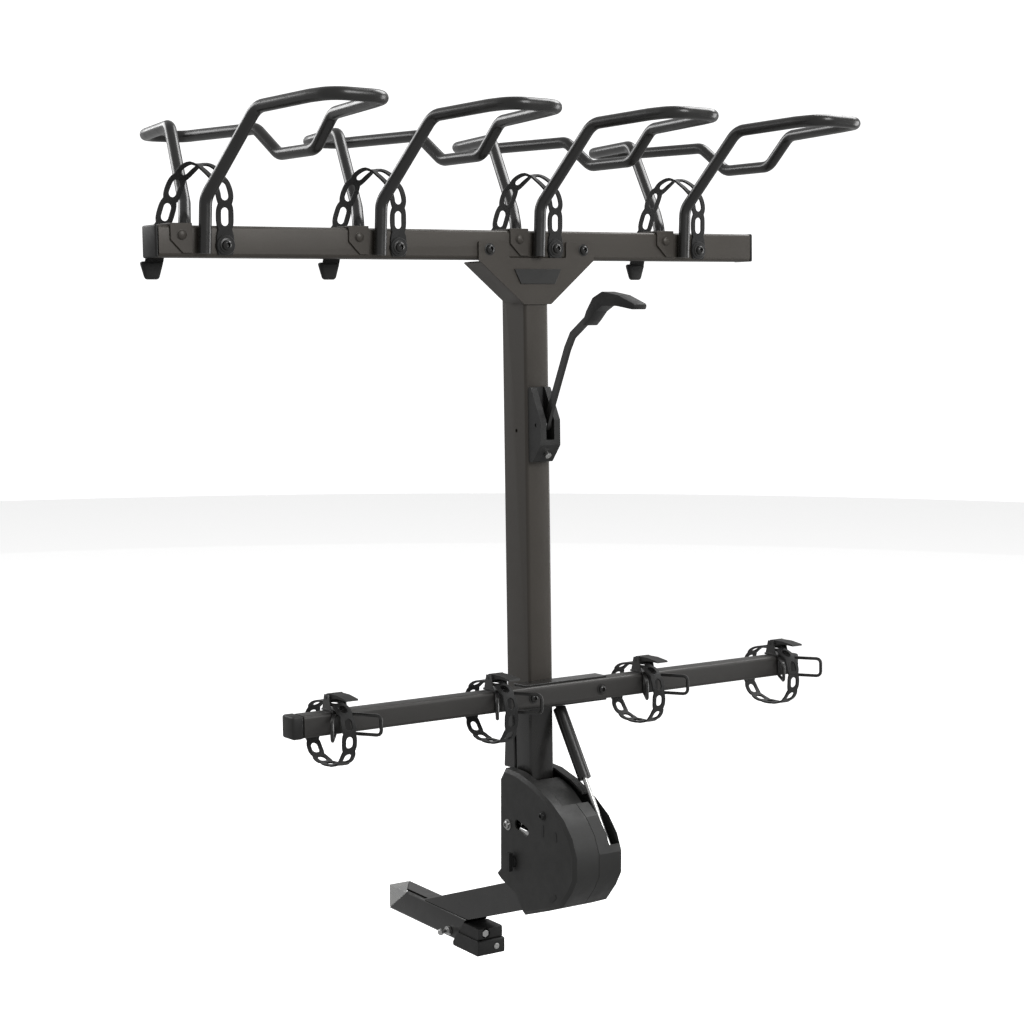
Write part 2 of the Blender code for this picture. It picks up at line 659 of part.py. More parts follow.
def build_lower_bar(mast):
    back = MAST_NEAR - GAP - 0.004 - GAP
    front = back - LOWER_SIZE
    half = LOWER_SIZE / 2
    bracket = outline("lower_bar_bracket",
                      [[(MAST_NEAR - GAP, LOWER_Z - half - GAP - 0.003),
                        (MAST_NEAR - GAP, LOWER_Z + half + GAP + 0.003),
                        (front + 0.008, LOWER_Z + half + GAP + 0.003),
                        (front + 0.008, LOWER_Z + half + GAP), (back + GAP, LOWER_Z + half + GAP),
                        (back + GAP, LOWER_Z - half - GAP), (front + 0.008, LOWER_Z - half - GAP),
                        (front + 0.008, LOWER_Z - half - GAP - 0.003)]], -0.060, 0.119, "YZ")
    bar = square_tube("lower_crossbar", LOWER_SIZE, LOWER_SIZE, LOWER_LEFT, LOWER_RIGHT, "X",
                      0.0035)
    bar.location.y, bar.location.z = (front + back) / 2, LOWER_Z
    for name, x in (("lower_bolt_left", -0.047), ("lower_bolt_right", 0.102)):
        cut(bar, cylinder(name + "_hole", 0.0044, (x, front - 0.02, LOWER_Z),
                          (x, back + 0.02, LOWER_Z), 10))
        cut(bracket, cylinder(name + "_seat", 0.0044, (x, front - 0.02, LOWER_Z),
                              (x, back + 0.02, LOWER_Z), 10))
    place(bracket, "lower_bar_bracket", dark_steel, mast)
    place(bar, "lower_crossbar", powder_coat, mast)
    for name, x, out in (("lower_cap_left", LOWER_LEFT, -1), ("lower_cap_right", LOWER_RIGHT, 1)):
        near, far = x + out * GAP, x + out * (LOWER_CAP_LENGTH + GAP)
        middle = (front + back) / 2
        cap = box(name, (min(near, far), middle - half - 0.0006, LOWER_Z - half - 0.0006),
                  (max(near, far), middle + half + 0.0006, LOWER_Z + half + 0.0006))
        place(soften(cap, 0.004, 2), name, black_plastic, mast)
    return front


def build_cradle(number, x, front, mast):
    """A saddle plate on the lower bar with two splayed wire loops and the buckle's cheeks."""
    name = f"wheel_cradle_{number}"
    top = LOWER_Z + LOWER_SIZE / 2 + GAP
    face = front - GAP
    wide = 0.0168
    cradle = outline(name, [[(face, LOWER_Z - 0.017), (face, top), (face + 0.036, top),
                             (face + 0.036, top + 0.0035), (face - 0.004, top + 0.0035),
                             (face - 0.004, LOWER_Z - 0.017)]], x - wide, x + wide, "YZ")
    for side in (-1, 1):
        ear = outline(f"{name}_ear_{side + 2}",
                      [[(face + 0.004, top + 0.001), (face + 0.034, top + 0.001),
                        (face + 0.026, top + 0.028), (face + 0.012, top + 0.028)]],
                      *sorted((x + side * 0.0145, x + side * 0.0163)), "YZ")
        join(cradle, ear)
        out = Vector((side * 0.555, -0.832, 0)) * 0.062
        start = Vector((x + side * 0.012, face - 0.0030, LOWER_Z + 0.0150))
        drop = Vector((0, 0, -0.033))
        inner = Vector((0, 0.0020, 0))
        loop = bent_rod(f"{name}_loop_{side + 2}",
                        [start + inner, start + out, start + out + drop, start + inner + drop],
                        0.0032, 0.008, 3, 1)
        join(cradle, solid_from_curve(loop))
    bore = cylinder(name + "_bore", 0.0028, (x - 0.03, face + 0.019, top + 0.022),
                    (x + 0.03, face + 0.019, top + 0.022), 10)
    cut(cradle, bore)
    place(cradle, name, dark_steel, mast)
    return Vector((x, face + 0.019, top + 0.022))


def build_wheel_strap(number, x, front, mast):
    name = f"wheel_strap_{number}"
    shape = bmesh.new()
    bmesh.ops.create_cone(shape, cap_ends=False, segments=28, radius1=1, radius2=1, depth=0.026)
    bmesh.ops.rotate(shape, verts=shape.verts, matrix=Matrix.Rotation(pi / 2, 3, "Y"))
    for vertex in shape.verts:      # a rounded rectangle, close to an ellipse
        across, up = vertex.co.y, vertex.co.z
        reach = (abs(across) ** SQUARENESS + abs(up) ** SQUARENESS) ** (-1 / SQUARENESS)
        vertex.co.y, vertex.co.z = 0.0655 * across * reach, 0.0535 * up * reach
    strap = mesh_object(name, shape)
    strap.location = (x, front + 0.0365, LOWER_Z - 0.0215)
    shell = strap.modifiers.new("thickness", "SOLIDIFY")
    shell.thickness = 0.003
    shell.offset = 0
    place(strap, name, rubber, mast)


def build_ratchet(number, axis, mast):
    """The buckle's lever, its origin on its own pin."""
    name = f"ratchet_lever_{number}"
    lever = cylinder(name, 0.0024, (-0.0166, 0, 0), (0.0166, 0, 0), 10)
    lever.data.transform(lever.rotation_euler.to_matrix().to_4x4())
    lever.rotation_euler = (0, 0, 0)
    lever.location = axis
    drum = cylinder(name + "_drum", 0.0078, axis - Vector((0.0138, 0, 0)),
                    axis + Vector((0.0138, 0, 0)), 14)
    tab = outline(name + "_tab", [[(-0.002, -0.0015), (0.0035, 0.0072), (-0.030, 0.0075),
                                   (-0.058, 0.0040), (-0.060, 0.0010), (-0.030, 0.0020)]],
                  axis.x - 0.0120, axis.x + 0.0120, "YZ")
    tab.location.y, tab.location.z = axis.y, axis.z
    join(lever, drum, tab)
    place(lever, name, black_plastic, mast)


# ---------------------------------------------------------------- damper and release lever

def build_strut(mast, slide):
    """The tilt damper: its body hangs from the mast and its rod slides out of it."""
    frame = mast.matrix_world @ STRUT_TOP
    reach = STRUT_FOOT - frame
    turn = atan2(reach.y, -reach.z) + LEAN
    hinge = empty("strut_hinge", STRUT_TOP, turn, mast)
    body = cylinder("strut_body", 0.0120, (0, 0, -0.031), (0, 0, -STRUT_BODY), 20)
    neck = cylinder("strut_neck", 0.0060, (0, 0, -0.004), (0, 0, -0.036), 12)
    eye = cylinder("strut_eye", 0.0100, (-0.0090, 0, 0), (0.0090, 0, 0), 16)
    hollow = cylinder("strut_hollow", 0.0058, (0, 0, -0.040), (0, 0, -STRUT_BODY - 0.01), 14)
    bore = cylinder("strut_bore", 0.0046, (-0.02, 0, 0), (0.02, 0, 0), 12)
    join(body, neck, eye)
    cut(body, hollow, bore)
    place(body, "strut_body", dark_steel, hinge)
    rod_empty = empty("strut_slide", (0, 0, 0), 0, hinge)
    rod = cylinder("strut_rod", 0.0050, (0, 0, -STRUT_BODY + 0.036), (0, 0, -slide), 14)
    place(rod, "strut_rod", bright_steel, rod_empty)
    pin = cylinder("strut_pin", 0.0042, (HALF + GAP, STRUT_TOP.y, STRUT_TOP.z),
                   (STRUT_X + 0.0125, STRUT_TOP.y, STRUT_TOP.z), 12)
    place(pin, "strut_pin", bright_steel, mast)


def strip(points, width):
    """The outline of a flat bar that follows a line of points."""
    points = [Vector(p) for p in points]
    left, right = [], []
    for i, point in enumerate(points):
        ahead = (points[min(i + 1, len(points) - 1)] - points[max(i - 1, 0)]).normalized()
        side = Vector((-ahead.y, ahead.x)) * width / 2
        left.append(tuple(point + side))
        right.append(tuple(point - side))
    return left + right[::-1]


def build_release(mast):
    face = MAST_NEAR - GAP
    housing = outline("lever_housing", [rounded([(face, 0.722), (face, 0.855),
                                                 (face - 0.008, 0.855), (face - 0.037, 0.797),
                                                 (face - 0.037, 0.752), (face - 0.012, 0.722)],
                                                0.004, 2)], -0.0215, 0.0215, "YZ")
    slot = box("lever_slot", (-0.0085, face - 0.06, 0.762), (0.0085, face - 0.004, 0.862))
    bore = cylinder("lever_bore", 0.0034, (-0.03, LEVER_AXIS.y, LEVER_AXIS.z),
                    (0.03, LEVER_AXIS.y, LEVER_AXIS.z), 10)
    key = cylinder("key_bore", 0.0062, (0.0, face - 0.050, 0.715), (0.0, face - 0.0108, 0.7504),
                   16)
    cut(housing, slot, bore, key)
    place(housing, "lever_housing", black_plastic, mast)
    lock_start = Vector((0, face - 0.0305, 0.7326))
    lock = cylinder("lever_lock_cylinder", 0.0058, lock_start,
                    lock_start + Vector((0, 0.0175, 0.0158)), 16)
    place(lock, "lever_lock_cylinder", bright_steel, mast)

    hinge = empty("lever_hinge", LEVER_AXIS, 0, mast)
    route = [(0.0, -0.006), (-0.012, 0.020), (-0.0240, 0.043), (-0.0700, 0.135),
             (-0.0860, 0.158), (-0.128, 0.183)]
    arm = outline("lever_arm", [strip(route, 0.014)], -0.0032, 0.0032, "YZ")
    boss = cylinder("lever_boss", 0.0088, (-0.0070, 0, 0), (0.0070, 0, 0), 14)
    pin = cylinder("lever_pin", 0.0030, (-0.0200, 0, 0), (0.0200, 0, 0), 10)
    join(arm, boss, pin)
    place(arm, "lever_arm", dark_steel, hinge)
    grip = outline("lever_grip", [rounded([(-0.1325, 0.1790), (-0.1440, 0.199), (-0.163, 0.221),
                                           (-0.190, 0.231), (-0.235, 0.224), (-0.281, 0.208),
                                           (-0.278, 0.199), (-0.230, 0.206), (-0.190, 0.207),
                                           (-0.170, 0.198), (-0.152, 0.183), (-0.1380, 0.1730)],
                                          0.004, 2)], -0.0130, 0.0130, "YZ")
    place(soften(grip, 0.004, 2), "lever_grip", rubber, hinge)


# ---------------------------------------------------------------- assembly

def build():
    build_shank()
    build_wedge()
    build_end_blocks()
    build_hitch_pin()
    build_tongue()
    build_cheeks()
    build_casing()
    build_tilt_knob()

    mast = empty("mast_pivot", PIVOT, -LEAN)
    bpy.context.view_layer.update()
    build_mast(mast)
    build_shield(mast)
    build_latch(empty("latch_slide", (0, -0.0100, 0.069), 0, mast))
    build_crossbar(mast)
    build_gusset(mast)
    for i in range(HOOPS):
        strap_x = FIRST_BOLT + i * PITCH
        build_hoop(i + 1, strap_x, mast)
        build_saddle(i + 1, strap_x, mast)
        build_upper_strap(i + 1, strap_x, mast)
    front = build_lower_bar(mast)
    for i in range(HOOPS):
        x = FIRST_CRADLE + i * PITCH
        axis = build_cradle(i + 1, x, front, mast)
        build_wheel_strap(i + 1, x, front, mast)
        build_ratchet(i + 1, axis, mast)
    top = mast.matrix_world @ STRUT_TOP
    build_strut(mast, (STRUT_FOOT - top).length - 0.004)
    build_release(mast)


build()
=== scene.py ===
"""Looks for the hitch mounted bike rack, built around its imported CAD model, in metres, +Z up."""
import json
from math import atan2, cos, pi, radians, sin, tan

import bmesh
import bpy
from mathutils import Matrix, Vector
from mathutils.bvhtree import BVHTree

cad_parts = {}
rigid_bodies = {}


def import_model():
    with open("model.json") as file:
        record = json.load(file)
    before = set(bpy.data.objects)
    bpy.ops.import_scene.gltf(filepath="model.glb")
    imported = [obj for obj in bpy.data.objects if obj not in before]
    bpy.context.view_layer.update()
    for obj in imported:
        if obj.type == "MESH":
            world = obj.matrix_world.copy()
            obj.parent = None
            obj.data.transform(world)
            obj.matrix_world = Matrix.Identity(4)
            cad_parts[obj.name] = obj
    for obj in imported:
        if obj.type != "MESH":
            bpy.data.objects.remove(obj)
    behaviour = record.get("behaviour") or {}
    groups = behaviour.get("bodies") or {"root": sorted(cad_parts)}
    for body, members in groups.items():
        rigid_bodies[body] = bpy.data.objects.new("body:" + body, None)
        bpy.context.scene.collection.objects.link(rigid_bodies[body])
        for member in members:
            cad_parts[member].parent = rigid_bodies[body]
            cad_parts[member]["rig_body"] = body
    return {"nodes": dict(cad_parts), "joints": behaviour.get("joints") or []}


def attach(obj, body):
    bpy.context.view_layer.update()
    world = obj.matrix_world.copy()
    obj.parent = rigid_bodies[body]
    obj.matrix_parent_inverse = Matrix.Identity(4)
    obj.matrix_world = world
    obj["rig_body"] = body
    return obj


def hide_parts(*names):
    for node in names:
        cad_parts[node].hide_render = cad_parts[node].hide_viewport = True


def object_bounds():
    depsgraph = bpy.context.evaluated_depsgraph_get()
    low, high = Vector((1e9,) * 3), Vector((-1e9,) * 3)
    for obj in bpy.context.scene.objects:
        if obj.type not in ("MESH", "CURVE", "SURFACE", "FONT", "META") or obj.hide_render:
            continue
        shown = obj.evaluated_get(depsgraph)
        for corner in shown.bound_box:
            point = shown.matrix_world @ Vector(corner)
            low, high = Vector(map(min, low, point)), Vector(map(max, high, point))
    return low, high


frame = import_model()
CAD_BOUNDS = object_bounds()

NODES = frame["nodes"]
PIVOT = Vector(next(j["pos_m"] for j in frame["joints"] if j["name"] == "mast_tilt"))
LIFT = Vector(next(j["axis"] for j in frame["joints"] if j["name"] == "latch_lift"))
MAST = Matrix.Translation(PIVOT) @ Matrix.Rotation(-atan2(LIFT.y, LIFT.z), 4, "X")
BIKES = 4


def span(node):
    """Lowest and highest corners of a CAD node, measured in the mast's leaning frame."""
    back = MAST.inverted()
    points = [back @ v.co for v in NODES[node].data.vertices]
    return Vector(map(min, zip(*points))), Vector(map(max, zip(*points)))


BAR_LOW, BAR_HIGH = span("upper_crossbar")
BAR_Z = (BAR_LOW.z + BAR_HIGH.z) / 2
LOWER_LOW, LOWER_HIGH = span("lower_crossbar")
LOWER_Z = (LOWER_LOW.z + LOWER_HIGH.z) / 2
CLEAR = 0.0003                  # gap between pieces that rest on one another

ROD = 0.0105                    # radius of the hoop's rod
RAIL_UP = 0.205                 # hoop's rails above the crossbar's centre
HOOP_BEND = 0.034
LEG_X = -0.041                  # hoop's legs, along the crossbar from the strap's bolt
SADDLE_X = -0.096               # saddle's outer end, likewise
RIVET_X = -0.0765
PULL_X = -0.1035

STRAP_THICK = 0.0034
BOLT_DROP = 0.006               # strap's bolt below the crossbar's centre
LUG_THICK = 0.0050              # round end of the tyre strap, under its bolt
TIRE_CELL = 0.042               # length of strap for each slot
TIRE_WIDTHS = (0.0245, 0.0310)  # between the slots, and beside them
TIRE_SLOT = (0.0150, 0.0068)    # half length and half width
WHEEL_CELL = 0.030
WHEEL_WIDTHS = (0.0230, 0.0280)
WHEEL_SLOT = (0.0100, 0.0066)
SQUARENESS = 2.6                # exponent of the wheel strap's rounded loop
LOOP_STEPS = 96

# Places on the casing's -X side are (depth y, height z).
WINDOW_SCREW, SHIELD_SCREW = (-0.262, 0.279), (-0.373, 0.318)
# The casing's slots are not cut: each is a thin dark plate laid on the side, painted shade
# standing for the shade inside the slot.
CASING_SLOT_SHADES = (                # y, z, half length, half width, degrees from level
    (-0.373, 0.291, 0.011, 0.0035, 90),
    (-0.412, 0.288, 0.009, 0.0045, 80),
    (-0.405, 0.176, 0.012, 0.0048, -38))

FLOOR_DROP = 0.12               # floor below the rack
FLOOR_RADIUS, FLOOR_BEND = 14.0, 4.0


# ---------------------------------------------------------------- materials

class Shader:
    """A Principled material with short helpers for its procedural nodes."""

    def __init__(self, name, roughness, metallic=0.0, **sockets):
        self.material = bpy.data.materials.new(name)
        self.material.use_nodes = True
        self.tree = self.material.node_tree
        self.shader = self.tree.nodes["Principled BSDF"]
        self.set("Roughness", roughness)
        self.set("Metallic", metallic)
        for socket, value in sockets.items():
            self.set(socket.replace("_", " "), value)
        self.place = self.node("ShaderNodeTexCoord").outputs["Object"]

    def set(self, socket, value):
        self.shader.inputs[socket].default_value = value

    def node(self, kind, **inputs):
        made = self.tree.nodes.new(kind)
        for socket, value in inputs.items():
            self.plug(made.inputs[socket.replace("_", " ")], value)
        return made

    def plug(self, socket, value):
        if isinstance(value, bpy.types.NodeSocket):
            self.tree.links.new(value, socket)
        else:
            socket.default_value = value

    def noise(self, scale, detail=4.0, stretch=None, roughness=0.6):
        place = self.place
        if stretch:
            mapping = self.node("ShaderNodeMapping", Vector=place)
            mapping.inputs["Scale"].default_value = stretch
            place = mapping.outputs["Vector"]
        return self.node("ShaderNodeTexNoise", Vector=place, Scale=scale, Detail=detail,
                         Roughness=roughness).outputs["Fac"]

    def ramp(self, value, low, high, at_low, at_high):
        """Maps a value from one range to another, clamped."""
        made = self.node("ShaderNodeMapRange", Value=value)
        for socket, number in zip(("From Min", "From Max", "To Min", "To Max"),
                                  (low, high, at_low, at_high)):
            made.inputs[socket].default_value = number
        return made.outputs["Result"]

    def mix(self, share, one, two):
        made = self.tree.nodes.new("ShaderNodeMix")
        made.data_type = "RGBA"
        self.plug(made.inputs["Factor"], share)
        for socket, colour in ((made.inputs[6], one), (made.inputs[7], two)):
            self.plug(socket, colour if isinstance(colour, bpy.types.NodeSocket) else (*colour, 1))
        return made.outputs[2]

    def colour(self, value):
        self.plug(self.shader.inputs["Base Color"], value)

    def rough(self, value):
        self.plug(self.shader.inputs["Roughness"], value)

    def bump(self, height, distance, strength):
        made = self.node("ShaderNodeBump", Height=height)
        made.inputs["Distance"].default_value = distance
        made.inputs["Strength"].default_value = strength
        self.plug(self.shader.inputs["Normal"], made.outputs["Normal"])


def powder_coat(name, dark, light):
    """Satin powder coat: orange peel, fine metallic flakes and soft blotches."""
    look = Shader(name, 0.42, 0.25, Coat_Weight=0.08, Coat_Roughness=0.3)
    base = look.mix(look.ramp(look.noise(5.0), 0.3, 0.7, 0.0, 1.0), dark, light)
    flakes = look.ramp(look.noise(1500.0, 1.0), 0.60, 0.76, 0.0, 0.20)
    look.colour(look.mix(flakes, base, tuple(min(1.0, c * 2.2) for c in light)))
    look.rough(look.ramp(look.noise(16.0), 0.3, 0.7, 0.40, 0.50))
    look.bump(look.noise(480.0, 2.0), 0.0003, 0.22)
    return look.material


def black_coat(name):
    """Gloss black coat on bent rod and plate."""
    look = Shader(name, 0.30, 0.0, Coat_Weight=0.3, Coat_Roughness=0.14)
    look.colour(look.mix(look.ramp(look.noise(11.0), 0.35, 0.65, 0, 1),
                         (0.010, 0.0096, 0.009), (0.016, 0.0154, 0.0145)))
    look.rough(look.ramp(look.noise(35.0), 0.3, 0.7, 0.24, 0.40))
    look.bump(look.noise(420.0, 2.0), 0.0003, 0.18)
    return look.material


def moulded_plastic(name, dark, light, grain=900.0):
    """Moulded black plastic with a fine spark-eroded grain and faint scuffs."""
    look = Shader(name, 0.5, 0.0, Specular_IOR_Level=0.45)
    base = look.mix(look.ramp(look.noise(9.0), 0.35, 0.65, 0, 1), dark, light)
    scuffs = look.ramp(look.noise(26.0, 5.0, (1.0, 5.0, 1.0)), 0.64, 0.78, 0.0, 0.16)
    look.colour(look.mix(scuffs, base, tuple(c * 1.6 for c in light)))
    look.rough(look.ramp(look.noise(40.0), 0.3, 0.7, 0.42, 0.58))
    look.bump(look.noise(grain, 3.0), 0.0004, 0.35)
    return look.material


def strap_rubber(name):
    """Matt moulded rubber with dust in its pores."""
    look = Shader(name, 0.62, 0.0, Specular_IOR_Level=0.35, Sheen_Weight=0.15)
    look.colour(look.mix(look.ramp(look.noise(30.0), 0.4, 0.7, 0, 1),
                         (0.006, 0.006, 0.006), (0.015, 0.0148, 0.0142)))
    look.rough(look.ramp(look.noise(60.0), 0.3, 0.7, 0.52, 0.70))
    look.bump(look.noise(700.0, 3.0), 0.0004, 0.30)
    return look.material


def zinc(name, stretch, tone=0.62, rough=0.22):
    """Bright plated steel with drawn lines along one axis."""
    look = Shader(name, rough, 1.0)
    lines = look.noise(60.0, 4.0, stretch)
    look.colour(look.mix(look.ramp(look.noise(18.0), 0.35, 0.65, 0, 1),
                         (tone * 0.86,) * 3, (tone, tone, tone * 0.97)))
    look.rough(look.ramp(lines, 0.3, 0.7, rough - 0.06, rough + 0.14))
    look.bump(lines, 0.0002, 0.12)
    return look.material


BROWN = powder_coat("brown_powder_coat", (0.050, 0.044, 0.037), (0.056, 0.049, 0.041))
LOWER_BROWN = powder_coat("lower_powder_coat", (0.042, 0.040, 0.038), (0.047, 0.045, 0.042))
BLACK = black_coat("black_coated_steel")
SHELL = moulded_plastic("casing_plastic", (0.022, 0.022, 0.021), (0.027, 0.027, 0.026))
CAPS = moulded_plastic("cap_plastic", (0.010, 0.010, 0.010), (0.020, 0.020, 0.019), 700.0)
RUBBER = strap_rubber("strap_rubber")
ZINC_Y = zinc("bright_steel_y", (14.0, 1.0, 14.0))
ZINC_Z = zinc("bright_steel_z", (14.0, 14.0, 1.0))
SCREW = zinc("screw_steel", (1.0, 1.0, 1.0), 0.50, 0.30)


# ---------------------------------------------------------------- helpers

def add(name, shape, look, body, place=None):
    """Makes a named piece from a bmesh, with its material, riding on a body."""
    mesh = bpy.data.meshes.new(name)
    bmesh.ops.recalc_face_normals(shape, faces=shape.faces)
    shape.to_mesh(mesh)
    shape.free()
    piece = bpy.data.objects.new(name, mesh)
    bpy.context.scene.collection.objects.link(piece)
    mesh.materials.append(look)
    if place is not None:
        piece.matrix_world = place
    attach(piece, body)
    return piece


def smooth(piece, angle=35):
    for face in piece.data.polygons:
        face.use_smooth = True
    piece.data.set_sharp_from_angle(angle=radians(angle))
    return piece


def bevel(piece, width, segments=2, angle=35):
    step = piece.modifiers.new("edges", "BEVEL")
    step.width = width
    step.segments = segments
    step.limit_method = "ANGLE"
    step.angle_limit = radians(angle)
    step.harden_normals = True
    return piece


def finished(node, look, width=0.0008, segments=2):
    """A copy of a CAD node with its flat faces merged and its edges rounded, in its place."""
    source = NODES[node]
    shape = bmesh.new()
    shape.from_mesh(source.data)
    bmesh.ops.remove_doubles(shape, verts=shape.verts, dist=0.00002)
    bmesh.ops.dissolve_limit(shape, angle_limit=radians(1), verts=shape.verts,
                             edges=shape.edges)
    piece = add(node + "_finished", shape, look, source["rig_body"])
    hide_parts(node)
    return smooth(bevel(piece, width, segments))


def frame_along(points):
    """Unit direction at each point of a route."""
    last = len(points) - 1
    return [(points[min(i + 1, last)] - points[max(i - 1, 0)]).normalized()
            for i in range(last + 1)]


def arc_corner(here, before, after, radius, steps):
    """Points of the arc that rounds a corner of a route."""
    one, two = (before - here), (after - here)
    a, b = one.normalized(), two.normalized()
    half = a.angle(b) / 2
    reach = min(radius / tan(half), one.length * 0.49, two.length * 0.49)
    radius = reach * tan(half)
    middle = here + (a + b).normalized() * (radius / sin(half))
    start, end = here + a * reach - middle, here + b * reach - middle
    return [middle + start.slerp(end, s / steps) * radius for s in range(steps + 1)]


def bent(corners, radius, steps):
    corners = [Vector(c) for c in corners]
    route = [corners[0]]
    for i in range(1, len(corners) - 1):
        route += arc_corner(corners[i], corners[i - 1], corners[i + 1], radius, steps)
    return route + [corners[-1]]


def tube(shape, route, radius, sides=20):
    """Sweeps a round section along a route into a bmesh, with closed ends."""
    ahead = frame_along(route)
    side = Vector((1, 0, 0))
    if abs(ahead[0].x) > 0.9:
        side = Vector((0, 0, 1))
    rings = []
    for point, along in zip(route, ahead):
        side = (side - along * side.dot(along)).normalized()
        up = along.cross(side)
        rings.append([shape.verts.new(point + radius * (side * cos(2 * pi * k / sides)
                                                        + up * sin(2 * pi * k / sides)))
                      for k in range(sides)])
    for one, two in zip(rings, rings[1:]):
        for k in range(sides):
            shape.faces.new((one[k], one[(k + 1) % sides], two[(k + 1) % sides], two[k]))
    shape.faces.new(rings[0][::-1])
    shape.faces.new(rings[-1])
    return shape


def lathe(shape, outline, place, sides=28):
    """Spins (radius, height) pairs about Z into a bmesh, moved by a matrix."""
    rings = []
    for radius, height in outline:
        if radius == 0:
            rings.append([shape.verts.new(place @ Vector((0, 0, height)))])
        else:
            rings.append([shape.verts.new(place @ Vector((radius * cos(2 * pi * k / sides),
                                                          radius * sin(2 * pi * k / sides),
                                                          height))) for k in range(sides)])
    for one, two in zip(rings, rings[1:]):
        for k in range(sides):
            near, far = k, (k + 1) % sides
            if len(one) == 1:
                shape.faces.new((one[0], two[near], two[far]))
            elif len(two) == 1:
                shape.faces.new((one[near], one[far], two[0]))
            else:
                shape.faces.new((one[near], one[far], two[far], two[near]))
    return shape


def facing(point, normal):
    """A matrix at a point whose Z axis is a normal."""
    return Matrix.Translation(point) @ Vector(normal).to_track_quat("Z", "Y").to_matrix().to_4x4()


def bolt(name, point, normal, radius, body, place, look):
    """A button head on a washer, with a hexagonal socket."""
    shape = bmesh.new()
    r = radius
    at = facing(Vector(point), normal)
    lathe(shape, [(0, 0), (1.35 * r, 0), (1.35 * r, 0.16 * r), (1.02 * r, 0.2 * r),
                  (r, 0.32 * r), (0.93 * r, 0.62 * r), (0.70 * r, 0.84 * r),
                  (0.50 * r, 0.9 * r)], at)
    lathe(shape, [(0.50 * r, 0.9 * r), (0.48 * r, 0.86 * r), (0.46 * r, 0.42 * r),
                  (0, 0.40 * r)], at, 6)
    return smooth(add(name, shape, look, body, place), 30)


# ---------------------------------------------------------------- hitch and casing

def build_hitch():
    finished("shank_tube", BLACK, 0.0008)
    finished("tongue_tube", BLACK, 0.0030, 3)
    finished("anti_wobble_wedge", ZINC_Y, 0.0014)
    finished("bolt_housing", CAPS, 0.0022, 3)
    finished("lock_housing", CAPS, 0.0022, 3)
    finished("tension_bolt", ZINC_Y, 0.0005)
    finished("hitch_pin", ZINC_Y, 0.0003)
    finished("hitch_lock_cylinder", ZINC_Y, 0.0006)
    for node in ("pivot_cheek_left", "pivot_cheek_right"):
        finished(node, BLACK, 0.0006)
    finished("pivot_shaft", ZINC_Y, 0.0005)


def casing_side(y, z):
    """The point of the casing's -X side at a depth and height."""
    mesh = NODES["casing_left"].data
    tree = BVHTree.FromPolygons([v.co for v in mesh.vertices],
                                [face.vertices for face in mesh.polygons])
    point, _, _, _ = tree.ray_cast(Vector((-1, y, z)), Vector((1, 0, 0)))
    return point


def oblong(half_long, half_wide, thick, steps=10):
    """A flat plate with round ends, lying along X, its underside at zero."""
    shape = bmesh.new()
    reach = half_long - half_wide
    rim = [(side * (reach + half_wide * sin(pi * k / steps)),
            side * half_wide * cos(pi * k / steps))
           for side in (1, -1) for k in range(steps + 1)]
    low, high = ([shape.verts.new((x, y, z)) for x, y in rim] for z in (0, thick))
    shape.faces.new(low[::-1])
    shape.faces.new(high)
    for k in range(len(rim)):
        after = (k + 1) % len(rim)
        shape.faces.new((low[k], low[after], high[after], high[k]))
    return shape


def trim(name, point, shape, look, turn):
    """Lays a plate on the casing's -X side, turned by degrees from level."""
    flat_on_side = Matrix(((0, 0, -1, 0), (-1, 0, 0, 0), (0, 1, 0, 0), (0, 0, 0, 1)))
    place = Matrix.Translation(point) @ Matrix.Rotation(radians(turn), 4, "X") @ flat_on_side
    return add(name, shape, look, "hitch_frame", place)


def build_casing():
    for node in ("casing_left", "casing_right"):
        finished(node, SHELL, 0.0016, 3)
    finished("tilt_lock_knob", CAPS, 0.0010)
    finished("tilt_shield", SHELL, 0.0006)
    finished("latch_pin", ZINC_Z, 0.0006)
    place = casing_side(*WINDOW_SCREW) + Vector((0.0145, -0.046, -0.0045))
    pin = trim("casing_window_pin", place, oblong(0.0160, 0.0062, 0.0120), ZINC_Y, 4)
    smooth(bevel(pin, 0.0030, 3), 40)
    # Each slot is a thin plate of darker plastic on the casing's side: painted shade in place of
    # the shade inside the slot.
    for number, (y, z, half_long, half_wide, turn) in enumerate(CASING_SLOT_SHADES, 1):
        trim(f"casing_slot_painted_shade_{number}", casing_side(y, z), oblong(half_long, half_wide, 0.0006),
             CAPS, turn)
    bolt("casing_screw_1", casing_side(*WINDOW_SCREW), (-1, 0, 0), 0.0075, "hitch_frame", None,
         SCREW)
    bolt("casing_screw_2", casing_side(*SHIELD_SCREW), (-1, 0, 0), 0.0065, "hitch_frame", None,
         CAPS)


# ---------------------------------------------------------------- mast

def build_mast():
    finished("lower_mast_tube", BLACK, 0.0006)
    finished("upper_mast_tube", BROWN, 0.0006)
    finished("mast_heel", BLACK, 0.0030, 3)
    finished("upper_crossbar", BROWN, 0.0006)
    finished("gusset_plate", BROWN, 0.0009)
    finished("blank_badge", CAPS, 0.0006)
    finished("lower_bar_bracket", BLACK, 0.0007)
    finished("lower_crossbar", LOWER_BROWN, 0.0006)
    for node in ("crossbar_cap_left", "crossbar_cap_right", "lower_cap_left", "lower_cap_right"):
        finished(node, CAPS, 0.0010, 2)
    finished("strut_body", BLACK, 0.0012, 3)
    finished("strut_rod", ZINC_Z, 0.0004)
    finished("strut_pin", ZINC_Z, 0.0004)
    finished("release_rod", ZINC_Z, 0.0003)


def build_release():
    finished("lever_housing", CAPS, 0.0016, 3)
    finished("lever_lock_cylinder", ZINC_Y, 0.0006)
    finished("lever_arm", BLACK, 0.0010)
    finished("lever_grip", RUBBER, 0.0020, 3)


def strap_x(number):
    """Where a bike's strap bolt is along the crossbar."""
    return span(f"hoop_saddle_{number}")[0].x - SADDLE_X


